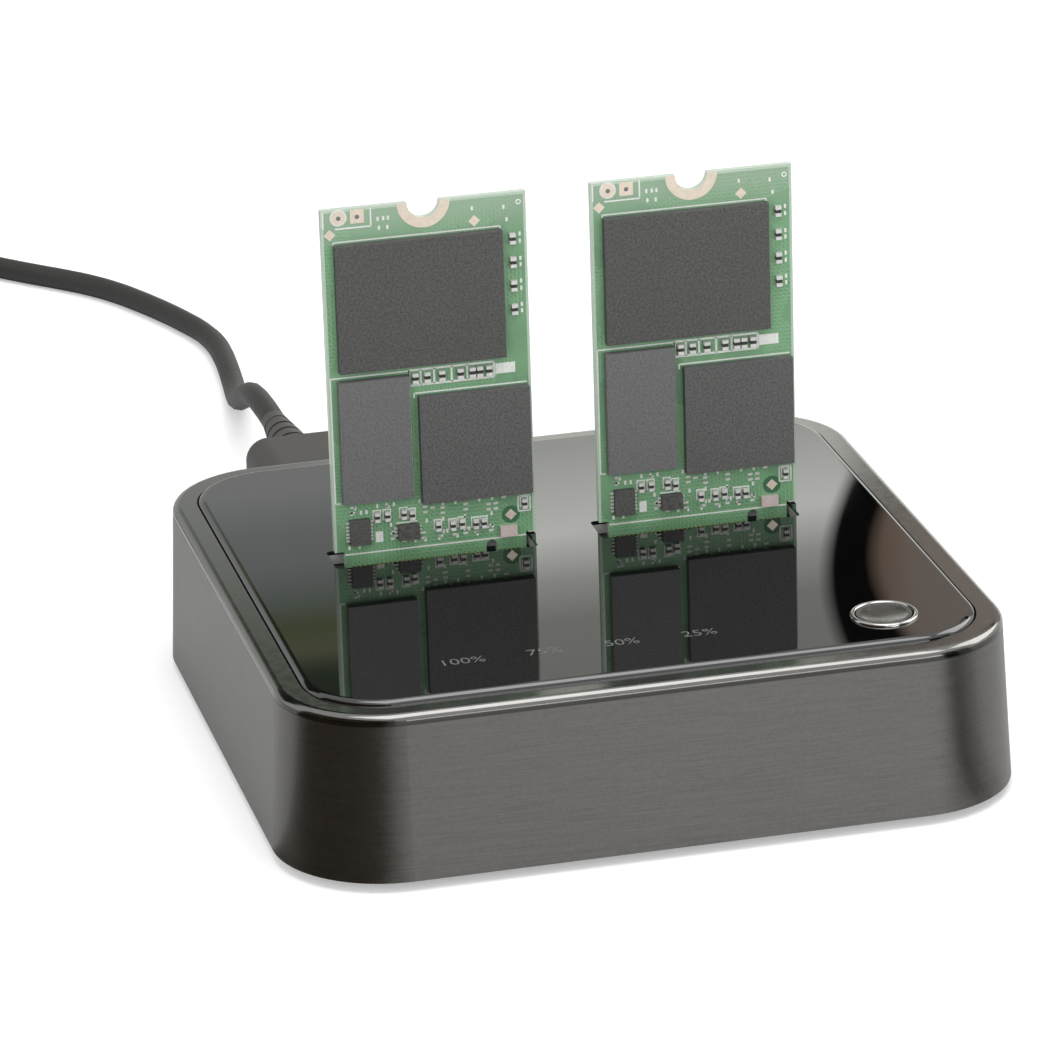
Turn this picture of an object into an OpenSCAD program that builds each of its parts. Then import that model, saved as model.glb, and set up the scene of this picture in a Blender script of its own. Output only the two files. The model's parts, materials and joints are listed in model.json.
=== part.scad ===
// Docking and cloning station for two upright M.2 solid state drives.
// X runs left to right, Y front to back, Z up; the origin is under the middle of the housing.

/* [Housing] */
// Width of the housing at the top of its side wall
body_w = 76.4; // [74.5:0.1:90]
// Depth of the housing at the top of its side wall
body_d = 76.4; // [74.5:0.1:90]
// Outer radius of the upright corners at the top of the side wall
corner_r = 11.2; // [10.5:0.1:12.5]
// How far the side wall flares outwards down to its foot
wall_flare = 0.85; // [0.3:0.05:1.2]
// Wall of the side frame at its top
frame_wall = 2; // [1.6:0.1:2.4]
// Height of the brushed side wall
frame_h = 16.7; // [16.5:0.1:19.5]
// Thickness of the base cover
base_t = 1.8; // [1.5:0.1:2.2]

/* [Top] */
// Width of the polished rim seen from above
rim_w = 2.7; // [2.5:0.1:3]
// Thickness of the polished rim above the side wall
rim_t = 1; // [0.95:0.05:1.3]
// Radius of the rim's rounded outer edge
rim_round = 0.9; // [0.3:0.05:0.9]
// Thickness of the glossy top panel
panel_t = 1.5; // [1.2:0.1:1.6]
// How far the top panel stands above the rim
panel_raise = 0.5; // [0.3:0.1:0.7]
// Radius of the top panel's rounded edge
panel_round = 0.8; // [0.3:0.05:0.9]

/* [Slots] */
// Distance between the two drives
drive_pitch = 29; // [27:0.5:31]
// Middle of the pair of drives, to the right of the housing's middle
drive_mid_x = 0.9; // [-1:0.1:2]
// Middle of a drive's board, behind the housing's middle
drive_y = 7; // [4:0.1:9]
// Clear width of a slot
slot_w = 22; // [21.8:0.1:23]
// Clear depth of a slot, front to back
slot_d = 5.4; // [5.2:0.1:6.4]
// How far the slot's middle lies in front of the board's middle
slot_front = 1.9; // [1.7:0.1:2]
// How far the slot's middle lies left of the board's middle
slot_left = 0.75; // [0.3:0.05:0.8]
// Wall of the slot liner
liner_wall = 0.4; // [0.3:0.1:0.6]

/* [Drives] */
// Width of a drive's board
card_w = 22; // [22:0.1:22.4]
// Length of a drive's board
card_l = 42; // [42:1:80]
// Thickness of a drive's board
card_t = 0.8; // [0.7:0.1:0.9]
// Width of the contact tongue
tongue_w = 19.85; // [19.6:0.05:20]
// Length of the contact tongue
tongue_l = 4; // [3.9:0.1:4.4]
// How far the board reaches below the top panel
card_sink = 3.8; // [3.6:0.1:3.9]
// Distance of the key notch from the board's middle
key_x = 6.125; // [5.625:0.5:6.625]
// Radius of the screw notch in the top edge
notch_r = 1.75; // [1.5:0.05:2]
// Thickness of the memory packages
chip_h = 1; // [0.8:0.05:1.2]

/* [Sockets] */
// Width of a socket housing
socket_w = 22; // [21.6:0.1:22.4]
// Depth of a socket housing, front to back
socket_d = 4.6; // [4.4:0.1:5]
// How deep the tongue sits in the socket
engage = 2.2; // [2:0.1:2.2]
// Distance between two contacts
contact_pitch = 0.5; // [0.5:0.05:0.6]
// Width of a contact
contact_w = 0.22; // [0.18:0.01:0.25]
// Number of contact places along one side of the tongue, the key's own among them
contact_n = 37; // [31:2:37]

/* [Button] */
// Middle of the button, in from the right side of the housing
button_in_x = 12.6; // [12.4:0.1:14.5]
// Middle of the button, in from the front of the housing
button_in_y = 10; // [9.8:0.1:12]
// Outer radius of the button's ring
button_ring_r = 3.55; // [3.4:0.05:3.8]
// Radius of the button's cap
button_r = 2.9; // [2.7:0.05:3]
// How far the ring stands above the top panel
button_raise = 0.3; // [0.3:0.05:0.6]
// Travel of the button
button_travel = 0.5; // [0.3:0.1:0.5]

/* [Boards and ports] */
// Thickness of the main board
board_t = 1.6; // [1.4:0.1:1.8]
// Height of the main board above the base cover
board_lift = 5.1; // [5:0.1:5.6]
// USB socket, to the left of the housing's middle
usb_x = 18; // [17:0.5:19]
// Power socket, to the right of the housing's middle
jack_x = 18; // [17:0.5:19]
// Radius of the power socket's centre pin
jack_pin_r = 1.05; // [0.85:0.05:1.25]
// Radius of the power socket's bore
jack_bore_r = 3.15; // [3:0.05:3.3]
// Travel of the power switch
switch_travel = 2; // [1.5:0.1:2]

/* [Feet and screws] */
// How far the feet stand below the base cover
foot_stand = 1.1; // [0.8:0.1:1.5]
// Radius of a foot
foot_r = 4; // [3.5:0.1:4.4]
// Radius of the screw threads
screw_r = 1; // [0.9:0.05:1.1]
// Radius of the screw heads
head_r = 1.9; // [1.8:0.05:2.1]

/* [Lead] */
// Diameter of the lead
cord_d = 2.8; // [2.6:0.1:2.9]
// Length of a plug's moulded grip
grip_l = 20; // [18:0.5:24]
// Width of a plug's moulded grip
grip_w = 12.2; // [11:0.1:12.4]
// Thickness of a plug's moulded grip
grip_t = 6.4; // [6:0.1:6.8]
// Length of the tapered strain relief
relief_l = 14; // [12:1:16]

/* [Hidden] */
$fn = 48;
// clearances
fit = 0.1;
slide_gap = 0.1;
touch_gap = 0.05;
// radii and walls inside the frame
inner_w = body_w - 2 * frame_wall;
inner_d = body_d - 2 * frame_wall;
inner_r = corner_r - frame_wall;
panel_w = body_w - 2 * rim_w - 2 * fit;
panel_d = body_d - 2 * rim_w - 2 * fit;
panel_r = corner_r - rim_w - fit;
ledge_w = 1.4;
ledge_t = 1.2;
plate_t = 1.6;
// levels, from the table upwards
base_z = foot_stand;
base_top = base_z + base_t;
board_z = base_top + board_lift;
board_top = board_z + board_t;
frame_top = base_z + frame_h;
rim_top = frame_top + rim_t;
panel_top = rim_top + panel_raise;
panel_z = panel_top - panel_t;
plate_top = panel_z - ledge_t;
plate_z = plate_top - plate_t;
card_z = panel_top - card_sink;
card_top = card_z + card_l;
socket_top = card_z + engage;
// drives
left_x = drive_mid_x - drive_pitch / 2;
right_x = drive_mid_x + drive_pitch / 2;
card_front = drive_y - card_t / 2;
card_back = drive_y + card_t / 2;
slot_y = drive_y - slot_front;
key_w = 1.2;
key_l = 3.5;
pad_t = 0.04;
finger_l = 2;
finger_w = 0.35;
finger_in = 0.3;
ring_w = 1.1;
// parts on a drive: right of its middle, above its top edge, then the width and height
flash_at = [-0.8, -10.8, 18, 14];
memory_at = [-6.2, -25.6, 7.6, 13.6];
controller_at = [4.6, -27.3, 12, 12];
foot_chips = [[-8.25, -35.8, 2.2, 2.8, 0.8], [-3, -36.35, 2.3, 1.6, 0.9]];
inductor_at = [7.95, -37.6, 1.8, 1.1];
diamonds = [[-10.1, -2.7], [5.4, -2.7], [8.3, -35.85]];
diamond_w = 0.9;
round_pad = [-9.1, -0.9];
round_pad_r = 0.75;
square_pad = [-7.1, -0.9, 1.5, 1.5];
// small capacitors on a drive: a row under the flash, a column beside it, and groups at the foot
part_w = 0.6;
part_h = 1.1;
part_t = 0.5;
row_x = [-1.6, -0.3, 1.3, 3.3, 4.6, 5.4, 6.4];
row_z = -19.3;
column_x = 9.4;
column_z = [-5, -7.6, -10.2, -12.8];
foot_parts = [
    [-6.3, -34.4], [-5.2, -34.4], [-3.4, -34.4], [-2.5, -34.6], [0.3, -36.2], [1.9, -36.3], [2.9, -36.2],
    [4.4, -36.4], [5.3, -36.4], [9.8, -34.7]
];
// slot liners, under a thin lip of the panel
lip_t = 0.45;
block_wall = 2;
slot_r = 0.5;
// sockets
cavity_gap = 0.1;
channel = 0.55;
leaf = 0.2;
contact_foot = 0.25;
socket_roof = 0.3;
rib_drop = 0.1;
lead_in = 0.35;
leaf_drop = 0.35;
bump_out = 0.03;
bump_flat = 0.2;
bump_drop = 0.5;
bump_run = 0.7;
// parts on the main board
chip_w = 9;
chip_t = 1.2;
chip_gap = 5;
chip_back_y = drive_y + socket_d / 2 + chip_gap + chip_w / 2;
chip_front_y = drive_y - socket_d / 2 - chip_gap - chip_w / 2;
crystal_w = 3.2;
crystal_d = 2.5;
crystal_h = 0.8;
crystal_off = 8;
inductor_w = 6;
inductor_h = 3;
inductor_dish_r = 2;
inductor_off = 6;
inductor_y = chip_front_y - chip_w / 2 - 2.7 - inductor_w / 2;
can_r = 2.5;
can_h = 4.6;
can_foot = 5.2;
can_foot_t = 0.8;
can_x = 8.5;
can_gap = 1.5;
mlcc_w = 0.8;
mlcc_l = 1.6;
mlcc_pitch = 2;
mlcc_y = drive_y - socket_d / 2 - 2.4 - mlcc_l / 2;
// button
button_x = body_w / 2 - button_in_x;
button_y = body_d / 2 - button_in_y;
dish_r = 9;
hole_gap = 0.05;
ring_wall = button_ring_r - button_r - 0.1 - slide_gap;
stem_r = 1.5;
flange_t = 0.8;
flange_over = 0.7;
tact_w = 4.5;
tact_h = 3.5;
plunger_r = 1.7;
plunger_well = 1.4;
plunger_z = board_top + tact_h - plunger_well + button_travel + fit;
plunger_top = board_top + tact_h + 1;
// screws, posts and feet
post_in = 6.9;
post_r = 2.6;
post_x = body_w / 2 - post_in;
post_y = body_d / 2 - post_in;
stand_in = 7;
stand_x = body_w / 2 - stand_in;
stand_y = 12;
stand_r = 2.4;
screw_l = 6;
head_t = 1.2;
cross_l = 2.2;
cross_w = 0.5;
cross_depth = 0.7;
foot_in_x = 14.2;
foot_in_y = 11.2;
foot_sink = 0.5;
foot_x = body_w / 2 - foot_in_x;
foot_y = body_d / 2 - foot_in_y;
// ports in the rear wall, whose outer face is taken at the level of the main board
wall_in = body_d / 2 - frame_wall;
rear = body_d / 2 + wall_flare * (frame_top - board_top) / frame_h;
port_face = wall_in - fit;
port_inset = 0.3;
window = 0.15;
usb_w = 8.94;
usb_h = 3.16;
usb_wall = 0.3;
usb_l = 7.35;
usb_plate_w = 6.69;
usb_plate_t = 0.7;
usb_web = 0.4;
usb_plate_in = 0.6;
usb_z = board_top + usb_h / 2;
plug_w = 8.25;
plug_h = 2.4;
plug_l = 6.2;
plug_gap = 0.4;
jack_w = 9;
jack_l = 13.5;
jack_nose_r = 4.1;
jack_depth = 9.5;
jack_z = board_top;
jack_wing = 2;
jack_wing_t = 1;
jack_pin_in = 0.8;
switch_w = 8.6;
switch_h = 3.8;
switch_d = 4;
switch_z = board_top + switch_h / 2;
knob_w = 2;
knob_h = 1.4;
knob_gap = 0.4;
shoe_w = 3.6;
shoe_h = 2.4;
shoe_room = 0.3;
switch_wall = 0.8;
// indicators along the front
led_pitch = 8.3;
led_x = -6.25;
led_in_y = 13.9;
led_y = led_in_y - body_d / 2;
led_n = 4;
led_w = 1.6;
led_d = 0.8;
led_h = 0.6;
led_gap = 0.2;
guide_r = 0.9;
bar_d = 3;
bar_h = 1.2;
// lead, with its free stretch as chosen points
cord_r = cord_d / 2;
cord_start = [-usb_x, rear + plug_gap + grip_l + relief_l, usb_z];
cord_route = [
    [-18, 80, 11], [-17.9, 85, 10.4], [-17.6, 90, 9], [-17.2, 96, 6.6], [-16.6, 102, 4.2],
    [-15.9, 108, 2.4], [-15.1, 114, 1.5], [-14.4, 121, 1.4], [-14, 127, 1.4], [-14, 132, 1.4],
    [-14.7, 137, 1.4], [-16.1, 141.8, 1.4], [-17.9, 146.8, 1.4], [-20.2, 152.2, 1.4], [-22.6, 157, 1.4],
    [-25.4, 161.2, 1.4], [-28.4, 164.7, 1.4], [-31.5, 168, 1.4], [-34.8, 171.7, 1.4], [-38.2, 175.9, 1.4],
    [-41.6, 180.6, 1.4], [-44.9, 185.6, 1.4]
];
coil_in = [-52, 194, cord_r];
coil_turn = 45;
coil_across = 11;
coil_step = 3.3;
coil_loops = 8;
coil_rings = 24;
coil_mid_r = coil_across * cord_d / 2;
coil_min_r = coil_mid_r - coil_loops / 4 * coil_step;
coil_max_r = coil_mid_r + coil_loops / 4 * coil_step;
coil_dir = [cos(coil_turn + 90), sin(coil_turn + 90), 0];
coil_mid = coil_in - coil_max_r * [cos(coil_turn), sin(coil_turn), 0];
tail_route = [
    [-60, 201.8, 4.3], [-66.5, 205.3, 3.4], [-75, 206.6, 2.4], [-83.5, 204.7, 1.7], [-91, 200, 1.4],
    [-97, 193, 1.4], [-101, 184.5, 1.5], [-102.6, 175.5, 1.9], [-101.5, 166.5, 2.6], [-98.6, 159, 3.2]
];
tail_end = [-94, 151.6, grip_t / 2 + fit];
tail_aim = -58;

// outlines

module rrect(w, d, r) {
    square([w - 2 * r, d], center = true);
    square([w, d - 2 * r], center = true);
    for (sx = [-1, 1], sy = [-1, 1])
        translate([sx * (w / 2 - r), sy * (d / 2 - r)]) circle(r);
}

module stadium(w, h) {
    square([w - h, h], center = true);
    for (s = [-1, 1]) translate([s * (w - h) / 2, 0]) circle(h / 2);
}

module at_corners(x, y) {
    for (sx = [-1, 1], sy = [-1, 1]) translate([sx * x, sy * y, 0]) children();
}

// a bar e high whose two upper corners are rounded by e
module rounded_bar(w, e) {
    translate([e - w / 2, 0]) square([w - 2 * e, e]);
    for (s = [-1, 1]) intersection() {
        translate([s * (w / 2 - e), 0]) circle(e);
        translate([s * (w - e) / 2 - e / 2, 0]) square(e);
    }
}

// a rounded plate whose upper edge is rounded by e all round
module rounded_plate(w, d, r, h, e) {
    linear_extrude(h - e) rrect(w, d, r);
    translate([0, 0, h - e]) {
        at_corners(w / 2 - r, d / 2 - r) rotate_extrude() intersection() {
            rounded_bar(2 * r, e);
            square([r, e]);
        }
        translate([0, d / 2 - r, 0]) rotate([90, 0, 0]) linear_extrude(d - 2 * r) rounded_bar(w, e);
        translate([r - w / 2, 0, 0]) rotate([90, 0, 90]) linear_extrude(w - 2 * r) rounded_bar(d, e);
    }
}

// a rounded block that widens by spread all round, from its top down to its foot
module flared(w, d, r, h, spread) {
    at_corners(w / 2 - r, d / 2 - r) cylinder(h = h, r1 = r + spread, r2 = r);
    translate([0, d / 2 - r, 0]) rotate([90, 0, 0]) linear_extrude(d - 2 * r)
        polygon([[-w / 2 - spread, 0], [w / 2 + spread, 0], [w / 2, h], [-w / 2, h]]);
    translate([r - w / 2, 0, 0]) rotate([90, 0, 90]) linear_extrude(w - 2 * r)
        polygon([[-d / 2 - spread, 0], [d / 2 + spread, 0], [d / 2, h], [-d / 2, h]]);
}

module block(x, y, z, w, d, h) {
    translate([x - w / 2, y - d / 2, z]) cube([w, d, h]);
}

// points along the rear wall are drawn looking at it from behind
module rear_extrude(x, z, y, l) {
    translate([x, y + l, z]) rotate([90, 0, 0]) linear_extrude(l) children();
}

// housing

module side_frame() {
    color("#66645f") difference() {
        translate([0, 0, base_z]) flared(body_w, body_d, corner_r, frame_h, wall_flare);
        translate([0, 0, base_z - 1]) linear_extrude(frame_h + 2) rrect(inner_w, inner_d, inner_r);
        rear_extrude(-usb_x, usb_z, rear - 2 * frame_wall, 3 * frame_wall)
            stadium(usb_w + 2 * window, usb_h + 2 * window);
        rear_extrude(jack_x, jack_z, rear - 2 * frame_wall, 3 * frame_wall)
            circle(jack_nose_r + window);
        rear_extrude(0, switch_z, rear - 2 * frame_wall, 3 * frame_wall)
            square([knob_w + switch_travel + 2 * knob_gap, knob_h + 2 * knob_gap], center = true);
    }
}

module top_bezel() {
    color("#8a8883") difference() {
        union() {
            translate([0, 0, frame_top]) rounded_plate(body_w, body_d, corner_r, rim_t, rim_round);
            translate([0, 0, panel_z - ledge_t]) linear_extrude(frame_top - panel_z + ledge_t)
                rrect(inner_w - 2 * fit, inner_d - 2 * fit, inner_r - fit);
        }
        translate([0, 0, panel_z])
            linear_extrude(panel_t + rim_t)
            rrect(body_w - 2 * rim_w, body_d - 2 * rim_w, corner_r - rim_w);
        translate([0, 0, panel_z - 2 * ledge_t]) linear_extrude(3 * ledge_t)
            rrect(panel_w - 2 * ledge_w, panel_d - 2 * ledge_w, panel_r - ledge_w);
    }
}

module slot_hole(x, grow) {
    translate([x - slot_left, slot_y]) rrect(slot_w + 2 * grow, slot_d + 2 * grow, slot_r + grow);
}

module top_panel() {
    color("#2b2b2d") difference() {
        translate([0, 0, panel_z]) rounded_plate(panel_w, panel_d, panel_r, panel_t, panel_round);
        for (x = [left_x, right_x]) {
            translate([0, 0, panel_z - 1]) linear_extrude(panel_t + 2) slot_hole(x, 0);
            translate([0, 0, panel_z - 1]) linear_extrude(panel_t - lip_t + 1) slot_hole(x, liner_wall + touch_gap);
        }
        translate([button_x, -button_y, panel_z - 1])
            cylinder(h = panel_t + 2, r = button_r + slide_gap + ring_wall + hole_gap);
    }
}

// the moulded carrier under the panel, with a post in each corner down to the base cover
module inner_frame() {
    pad_w = panel_w - 2 * ledge_w - 2 * fit;
    pad_d = panel_d - 2 * ledge_w - 2 * fit;
    color("#77787a") difference() {
        union() {
            translate([0, 0, plate_z]) linear_extrude(plate_t)
                rrect(inner_w - 2 * fit, inner_d - 2 * fit, inner_r - fit);
            translate([0, 0, plate_top]) linear_extrude(ledge_t)
                rrect(pad_w, pad_d, panel_r - ledge_w - fit);
            translate([0, 0, base_top]) at_corners(post_x, post_y) cylinder(h = plate_z - base_top, r = post_r);
        }
        for (x = [left_x, right_x]) {
            translate([0, 0, plate_top]) linear_extrude(2 * ledge_t)
                slot_hole(x, block_wall + touch_gap);
            block(x, drive_y, plate_z - plate_t, socket_w + 1, socket_d + 1, 3 * plate_t);
        }
        translate([button_x, -button_y, plate_z - plate_t])
            cylinder(h = 2 * plate_t + 2 * ledge_t, r = button_r + flange_over + 2 * slide_gap);
        for (i = [0 : led_n - 1])
            translate([led_at(i), led_y, plate_z - plate_t])
                cylinder(h = 4 * plate_t, r = guide_r + fit);
        translate([0, 0, base_top - 1]) at_corners(post_x, post_y)
            cylinder(h = screw_l + 1.5, r = screw_r - 0.1);
    }
}

// a bush that guides the board onto its socket; the panel traps its wide foot
module slot_liner(x) {
    color("#b4b5b2") difference() {
        union() {
            translate([0, 0, panel_z]) linear_extrude(panel_t - lip_t) slot_hole(x, liner_wall);
            translate([0, 0, plate_top]) linear_extrude(ledge_t) slot_hole(x, block_wall);
        }
        translate([0, 0, plate_top - ledge_t]) linear_extrude(panel_t + 3 * ledge_t) slot_hole(x, 0);
        block(x, drive_y, plate_top - 1, socket_w + 2 * fit, socket_d + 2 * fit, socket_top + fit - plate_top + 1);
    }
}

module base_cover() {
    color("#3a3a3c") difference() {
        union() {
            translate([0, 0, base_z]) linear_extrude(base_t)
                rrect(inner_w - 2 * fit, inner_d - 2 * fit, inner_r - fit);
            translate([0, 0, base_top]) at_corners(stand_x, stand_y) cylinder(h = board_lift, r = stand_r);
        }
        translate([0, 0, base_z - 1]) at_corners(post_x, post_y) cylinder(h = base_t + 2, r = screw_r + fit);
        translate([0, 0, base_z - 1]) at_corners(post_x, post_y) cylinder(h = 1 + head_t, r = head_r + fit);
        translate([0, 0, base_z - 1]) at_corners(foot_x, foot_y) cylinder(h = 1 + foot_sink, r = foot_r + fit);
        translate([0, 0, base_top]) at_corners(stand_x, stand_y) cylinder(h = board_lift + 1, r = screw_r - 0.1);
    }
}

module rubber_feet() {
    color("#1d1d1e") at_corners(foot_x, foot_y) rotate_extrude()
        polygon([[0, 0], [foot_r - 0.4, 0], [foot_r, 0.4], [foot_r, base_z + foot_sink], [0, base_z + foot_sink]]);
}

// a cross-head screw with its point up
module screw_up(z, l) {
    translate([0, 0, z]) difference() {
        union() {
            cylinder(h = head_t, r = head_r);
            cylinder(h = head_t + l, r = screw_r - 0.1);
        }
        for (a = [0, 90]) rotate(a) block(0, 0, -1, cross_l, cross_w, 1 + cross_depth);
    }
}

module base_screws() {
    color("#3f4043") at_corners(post_x, post_y) screw_up(base_z, screw_l);
}

module board_screws() {
    color("silver") at_corners(stand_x, stand_y)
        translate([0, 0, board_top + head_t]) mirror([0, 0, 1]) screw_up(0, screw_l);
}

// main board and what it carries

module main_board() {
    edge = 0.6;
    color("#2f6f49") difference() {
        translate([0, 0, board_z]) linear_extrude(board_t)
            rrect(inner_w - 2 * edge, inner_d - 2 * edge, inner_r - edge);
        translate([0, 0, board_z - 1]) {
            at_corners(post_x, post_y) cylinder(h = board_t + 2, r = post_r + 0.3);
            at_corners(stand_x, stand_y) cylinder(h = board_t + 2, r = screw_r + fit);
        }
        block(jack_x, wall_in - jack_l / 2, board_z - 1, jack_w + 0.4, jack_l + 2, board_t + 2);
    }
}

// contacts run along the tongue except where the key stands
function contact_at(i) = (i - (contact_n - 1) / 2) * contact_pitch;
function clear_of_key(u) = abs(u - key_x) > key_w / 2 + contact_pitch / 2;

module socket(x) {
    deep = socket_top - card_z + cavity_gap;
    span = (contact_n - 1) * contact_pitch + contact_w + cavity_gap;
    well = socket_top - socket_roof;
    color("#26272a") difference() {
        block(x, drive_y, board_top, socket_w, socket_d, socket_top - board_top);
        difference() {
            union() {
                block(x, drive_y, socket_top - deep, tongue_w + 2 * cavity_gap, card_t + 2 * cavity_gap, deep + 1);
                block(x, drive_y, board_top - 1, span, card_t + 2 * channel, well - board_top + 1);
            }
            block(x, drive_y, board_top + contact_foot, span, card_t + 2 * cavity_gap,
                socket_top - deep - board_top - contact_foot);
            block(x + key_x, drive_y, board_top + contact_foot, key_w - 2 * cavity_gap, card_t + 2 * channel,
                well - rib_drop - board_top - contact_foot);
        }
        block(x, drive_y, board_top - 1, span, socket_d + 2, 1 + contact_foot);
        for (s = [-1, 1]) translate([x, drive_y + s * (card_t / 2 + channel), socket_top])
            rotate([45, 0, 0]) block(0, 0, -lead_in / 2, tongue_w, lead_in, lead_in);
    }
}

// a leaf that stands on its foot and leans its bump towards the tongue
module contact_leaf() {
    h = socket_top - board_top - leaf_drop;
    out = socket_d / 2 - card_t / 2;
    bump = pad_t + bump_out;
    back = channel - leaf;
    low = h - bump_drop - bump_flat;
    polygon([
        [out, 0], [out, leaf], [channel, leaf], [channel, h], [back, h],
        [bump, h - bump_drop], [bump, low], [back, low - bump_run], [back, 0]
    ]);
}

module socket_contacts(x) {
    color("#d9b85c") for (i = [0 : contact_n - 1], s = [-1, 1]) if (clear_of_key(contact_at(i)))
        translate([x + contact_at(i), drive_y, board_top]) rotate([0, 0, s > 0 ? 0 : 180])
            translate([-contact_w / 2, card_t / 2, 0]) rotate([90, 0, 90]) linear_extrude(contact_w) contact_leaf();
}

module clone_controller() {
    color("#303236") block(drive_mid_x, chip_back_y, board_top, chip_w, chip_w, chip_t);
}

module bridge_chips() {
    color("#303236") for (x = [left_x, right_x]) block(x, chip_front_y, board_top, chip_w, chip_w, chip_t);
}

module crystals() {
    color("silver") for (x = [left_x, right_x])
        block(x - crystal_off, chip_front_y, board_top, crystal_w, crystal_d, crystal_h);
}

module power_inductors() {
    dish = 0.2;
    color("#55565a") for (x = [left_x - inductor_off, drive_mid_x, right_x + inductor_off]) difference() {
        block(x, inductor_y, board_top, inductor_w, inductor_w, inductor_h);
        translate([x, inductor_y, board_top + inductor_h - dish]) cylinder(h = 1, r = inductor_dish_r);
    }
}

module bulk_capacitors() {
    y = port_face - switch_d - can_gap - can_foot / 2;
    color("#a9abad") for (x = [-can_x, can_x]) {
        translate([x, y, board_top]) cylinder(h = can_h, r = can_r);
        block(x, y, board_top, can_foot, can_foot, can_foot_t);
    }
}

module board_capacitors() {
    color("#b49a6c") for (x = [left_x, right_x], i = [-4 : 4]) if (i != 0)
        block(x + mlcc_pitch * i, mlcc_y, board_top, mlcc_w, mlcc_l, mlcc_w);
}

function led_at(i) = led_x + (i - (led_n - 1) / 2) * led_pitch;

module status_leds() {
    color("#e8ecd8") for (i = [0 : led_n - 1]) block(led_at(i), led_y, board_top, led_w, led_d, led_h);
}

module light_guide() {
    foot_z = board_top + led_h + led_gap;
    bar_l = (led_n - 1) * led_pitch + bar_d;
    color("#dfe7ea", 0.6) {
        block(led_x, led_y, plate_z - bar_h, bar_l, bar_d, bar_h);
        for (i = [0 : led_n - 1])
            translate([led_at(i), led_y, foot_z]) cylinder(h = panel_z - foot_z, r = guide_r);
    }
}

// ports

module usb_port_shell() {
    color("silver") difference() {
        rear_extrude(-usb_x, usb_z, rear - port_inset - usb_l, usb_l) stadium(usb_w, usb_h);
        rear_extrude(-usb_x, usb_z, rear - port_inset - usb_l + usb_wall, usb_l)
            stadium(usb_w - 2 * usb_wall, usb_h - 2 * usb_wall);
    }
}

module usb_port_tongue() {
    back = rear - port_inset - usb_l + usb_wall;
    color("#222326") {
        rear_extrude(-usb_x, usb_z, back, usb_web) stadium(usb_w - 2 * usb_wall, usb_h - 2 * usb_wall);
        rear_extrude(-usb_x, usb_z, back, usb_l - usb_wall - usb_plate_in)
            square([usb_plate_w, usb_plate_t], center = true);
    }
}

module dc_jack_housing() {
    nose_l = rear - port_inset - port_face;
    color("#1f2023") difference() {
        union() {
            block(jack_x, port_face - jack_l / 2, jack_z - jack_w / 2, jack_w, jack_l, jack_w);
            block(jack_x, port_face - jack_l / 2, board_top, jack_w + 2 * jack_wing, jack_l, jack_wing_t);
            rear_extrude(jack_x, jack_z, port_face - 1, nose_l + 1) circle(jack_nose_r);
        }
        rear_extrude(jack_x, jack_z, rear - port_inset - jack_depth, jack_depth + 2) circle(jack_bore_r);
    }
}

module dc_jack_pin() {
    color("#d0cfc8") rear_extrude(jack_x, jack_z, rear - port_inset - jack_depth, jack_depth - jack_pin_in)
        circle(jack_pin_r);
}

module power_switch_case() {
    room_d = switch_d - 2 * switch_wall;
    color("#1f2023") difference() {
        block(0, port_face - switch_d / 2, board_top, switch_w, switch_d, switch_h);
        block(0, port_face - switch_d / 2, switch_z - shoe_h / 2 - fit, shoe_w + switch_travel + 2 * shoe_room,
            room_d, shoe_h + 2 * fit);
        block(0, port_face, switch_z - knob_h / 2 - fit, knob_w + switch_travel + 2 * fit, 3 * switch_wall,
            knob_h + 2 * fit);
    }
}

// the slider rests at its left end and travels to the right
module power_switch_slider() {
    shoe_d = switch_d - 2 * switch_wall - 2 * fit;
    knob_l = rear - port_inset - port_face + switch_d / 2;
    color("#111214") translate([-switch_travel / 2, 0, 0]) {
        block(0, port_face - switch_d / 2, switch_z - shoe_h / 2, shoe_w, shoe_d, shoe_h);
        block(0, rear - port_inset - knob_l / 2, switch_z - knob_h / 2, knob_w, knob_l, knob_h);
    }
}

// button

module button_ring() {
    bore = button_r + slide_gap;
    bead = (button_ring_r - bore) / 2;
    color("#d7d7d5") translate([button_x, -button_y, 0]) rotate_extrude() {
        translate([bore, panel_z]) square([ring_wall, panel_t]);
        translate([bore, panel_top]) square([2 * bead, button_raise - bead]);
        translate([bore + bead, panel_top + button_raise - bead]) intersection() {
            circle(bead);
            translate([-bead, 0]) square([2 * bead, bead]);
        }
    }
}

module button_cap() {
    top = panel_top + button_raise - fit;
    dish_edge = button_r - 0.4;
    sag = dish_r - sqrt(dish_r * dish_r - dish_edge * dish_edge);
    color("#9b9b98") translate([button_x, -button_y, 0]) difference() {
        union() {
            translate([0, 0, panel_z - touch_gap]) cylinder(h = top - panel_z + touch_gap, r = button_r);
            translate([0, 0, panel_z - touch_gap - flange_t]) cylinder(h = flange_t, r = button_r + flange_over);
            translate([0, 0, plunger_top]) cylinder(h = panel_z - touch_gap - plunger_top, r = stem_r);
        }
        translate([0, 0, top - sag + dish_r]) sphere(dish_r, $fn = 96);
    }
}

module button_switch_case() {
    color("#2a2b2e") difference() {
        block(button_x, -button_y, board_top, tact_w, tact_w, tact_h);
        translate([button_x, -button_y, plunger_z - button_travel - fit]) cylinder(h = tact_h, r = plunger_r + fit);
    }
}

module button_switch_plunger() {
    color("#ececea") translate([button_x, -button_y, plunger_z]) cylinder(h = plunger_top - plunger_z, r = plunger_r);
}

// drives: places are taken from the middle of the top edge of the board's front face

module on_card(x) {
    translate([x, card_front, card_top]) children();
}

// a part w wide and h high on the front of the board, by its middle, t proud
module on_face(x, z, w, h, t) {
    translate([x - w / 2, -t, z - h / 2]) cube([w, t, h]);
}

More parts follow.
